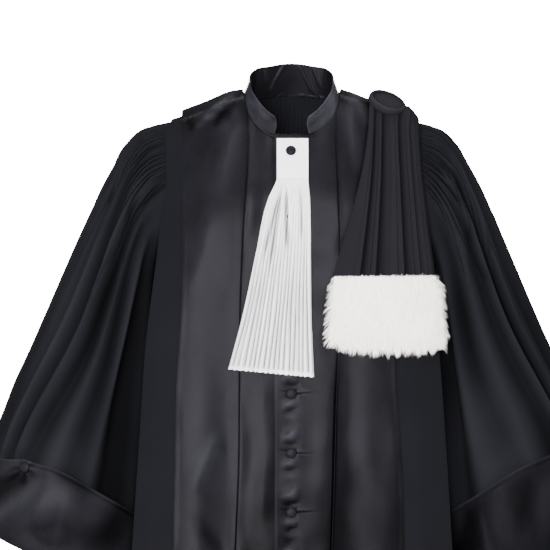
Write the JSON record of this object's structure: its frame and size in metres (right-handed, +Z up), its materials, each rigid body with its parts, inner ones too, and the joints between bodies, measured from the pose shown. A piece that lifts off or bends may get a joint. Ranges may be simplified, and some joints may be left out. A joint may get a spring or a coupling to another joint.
{
  "type": "judicial robe",
  "caption": "Full-length black judicial robe with bell sleeves, stand collar, satin facings, pleated white neckpiece and a fur-ended shoulder sash, hung hollow as worn",
  "frame": {"origin": "on the centre plane, midway between the points where the shoulder seams meet the collar, where the robe hangs on the wearer's shoulders", "axes": "+Z up; the front faces -Y; +X is the wearer's left"},
  "size_m": [1.028, 0.5002, 1.4299],
  "materials": {
    "wool": "matte black wool with a fine plain weave",
    "satin": "black satin with a soft sheen",
    "button_satin": "black satin drawn over a domed button",
    "cotton": "crisp white cotton in narrow pleats",
    "fur": "soft white fur lying downward"
  },
  "bodies": {
    "root": {"back_left": "wool", "back_right": "wool", "button_cuff_left": "button_satin", "button_cuff_right": "button_satin", "button_front_01": "button_satin", "button_front_02": "button_satin", "button_front_03": "button_satin", "button_front_04": "button_satin", "button_front_05": "button_satin", "button_front_06": "button_satin", "button_front_07": "button_satin", "button_front_08": "button_satin", "button_front_09": "button_satin", "button_front_10": "button_satin", "button_front_11": "button_satin", "button_front_12": "button_satin", "button_front_13": "button_satin", "button_front_14": "button_satin", "collar": "satin", "cuff_left": "satin", "cuff_right": "satin", "facing_left": "satin", "facing_right": "satin", "front_centre_over": "satin", "front_centre_under": "satin", "front_left": "wool", "front_right": "wool", "fur_back": "fur", "fur_front": "fur", "rabat_pleats": "cotton", "rabat_tab": "cotton", "sash_back": "wool", "sash_disc": "wool", "sash_front": "wool", "side_left": "wool", "side_right": "wool", "sleeve_left": "wool", "sleeve_right": "wool"}
  },
  "joints": []
}
